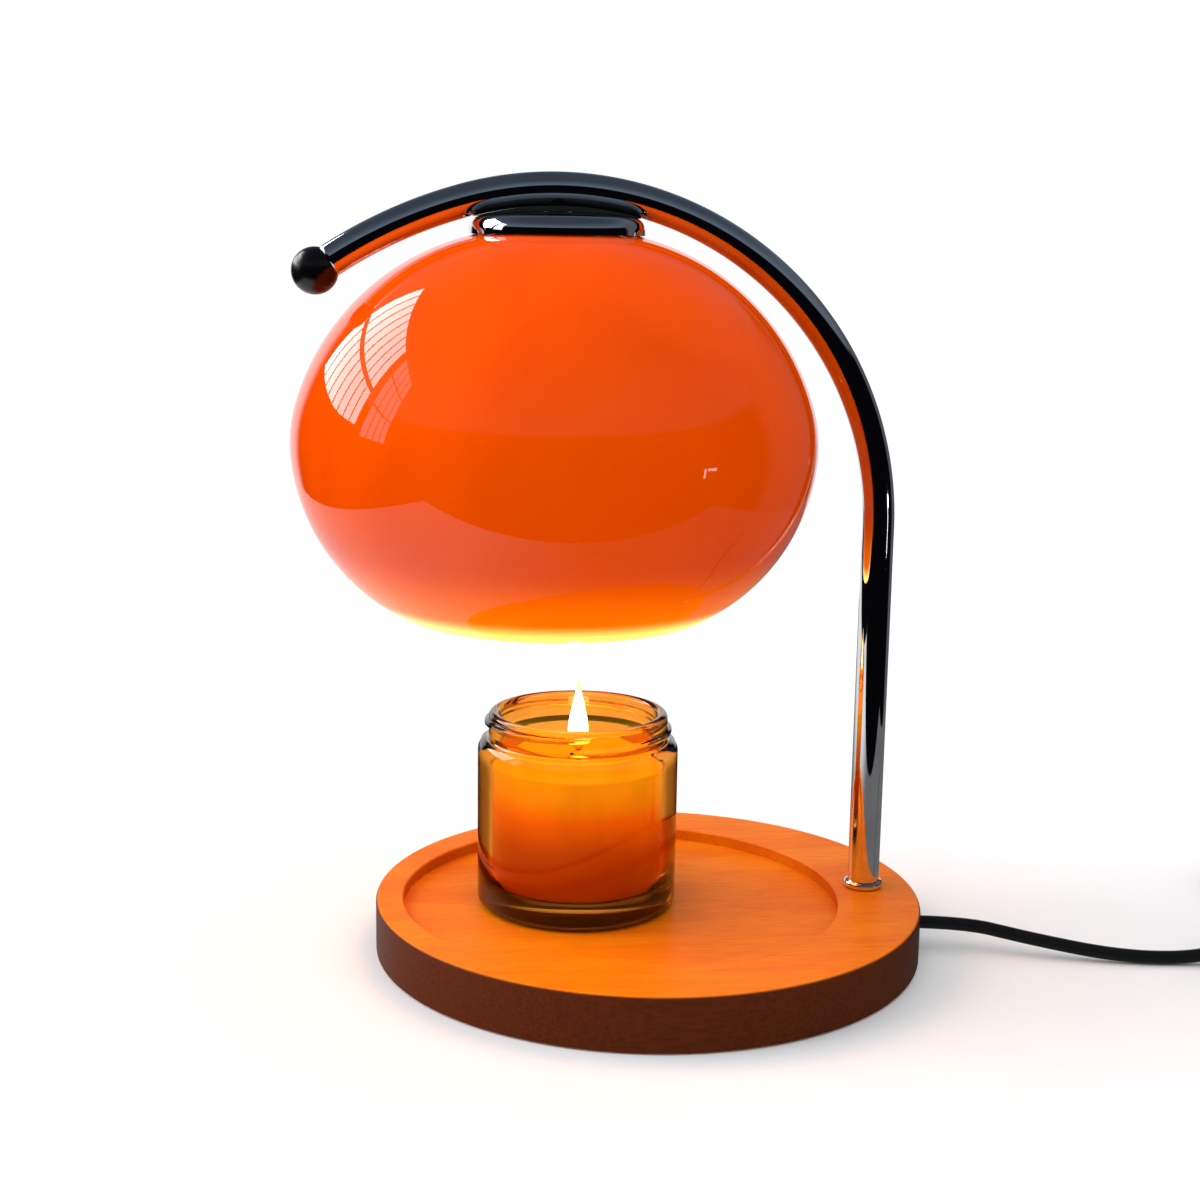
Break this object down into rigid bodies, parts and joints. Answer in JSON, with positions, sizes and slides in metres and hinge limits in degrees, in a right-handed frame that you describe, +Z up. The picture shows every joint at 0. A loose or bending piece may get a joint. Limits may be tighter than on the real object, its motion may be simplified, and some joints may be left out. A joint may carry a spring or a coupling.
{
  "type": "candle warmer lamp",
  "caption": "Round wooden tray with a bent chrome arm that hangs a wide orange glass shade and its bulb above a jar candle, with an in-line dimmer on the cord.",
  "frame": {"origin": "centre of the felt under the base, on the table", "axes": "+Z up, +X from the middle of the base towards the arm's leg, the arm bends over in the plane Y = 0"},
  "size_m": [0.3932, 0.2372, 0.2403],
  "materials": {
    "stained_wood": "orange stain under satin lacquer, fine grain",
    "felt": "short pressed felt",
    "fibre_board": "matt",
    "zinc_steel": "zinc plated",
    "black_rubber": "matt",
    "black_plastic": "fine moulded grain",
    "grey_plastic": "knurled rim",
    "white_plastic": "moulded",
    "brass": "bright",
    "chrome": "mirror plated",
    "nickel": "bright",
    "black_ball": "polished",
    "gasket_rubber": "matt",
    "orange_glass": "glossy, nearly opaque",
    "ceramic": "glazed",
    "reflector": "facetted",
    "clear_glass": "clear",
    "amber_glass": "clear amber, polished",
    "wax": "soft satin",
    "wick": "braided cotton, charred tip",
    "cord_black": "satin",
    "circuit_board": "lacquered"
  },
  "bodies": {
    "root": {"tray_base": "stained_wood", "base_felt": "felt", "pocket_cover": "fibre_board", "cover_screws": "zinc_steel", "cord_grommet": "black_rubber", "cord_clamp": "black_plastic", "clamp_screws": "zinc_steel", "terminal_block": "white_plastic", "terminal_screws": "brass", "inner_leads": "white_plastic", "post_stud": "zinc_steel", "post_washer": "zinc_steel", "post_nut": "zinc_steel", "post_collar": "chrome", "arm_tube": "chrome", "finial_plug": "zinc_steel", "finial_stud": "zinc_steel", "finial_ball": "black_ball", "hanger_nipple": "chrome", "shade_cap": "chrome", "cap_gasket": "gasket_rubber", "shade_glass": "orange_glass", "glass_gasket": "gasket_rubber", "clamp_plate": "zinc_steel", "nipple_nut": "zinc_steel", "holder_bracket": "zinc_steel", "lamp_holder": "ceramic", "holder_contacts": "brass", "holder_screws": "zinc_steel", "cord_to_dimmer": "cord_black", "cord_to_coil": "cord_black", "cord_coil": "cord_black", "cord_to_plug": "cord_black", "coil_tie": "black_plastic", "dimmer_lower": "black_plastic", "dimmer_upper": "black_plastic", "dimmer_board": "circuit_board", "board_parts": "black_plastic", "dimmer_terminals": "white_plastic", "dimmer_screws": "zinc_steel", "plug_body": "black_plastic", "plug_strain_relief": "black_rubber", "plug_blades": "brass"},
    "bulb": {"bulb_base": "ceramic", "bulb_pins": "nickel", "bulb_reflector": "reflector", "bulb_lens": "clear_glass", "bulb_capsule": "clear_glass"},
    "candle": {"candle_jar": "amber_glass", "candle_wax": "wax", "candle_wick": "wick", "wick_tab": "zinc_steel"},
    "wheel": {"dimmer_wheel": "grey_plastic"}
  },
  "joints": [
    {"name": "bulb_twist", "type": "hinge", "parent": "root", "child": "bulb", "pos_m": [-0.031, 0, 0.1895], "axis": [0, 0, 1], "range_deg": [0, 25]},
    {"name": "candle_lift", "type": "slide", "parent": "root", "child": "candle", "axis": [0, 0, 1], "range_m": [0, 0.028]},
    {"name": "wheel_turn", "type": "hinge", "parent": "root", "child": "wheel", "pos_m": [0.214, -0.037, 0.0086], "axis": [0, 0, 1], "range_deg": [0, 270]}
  ]
}
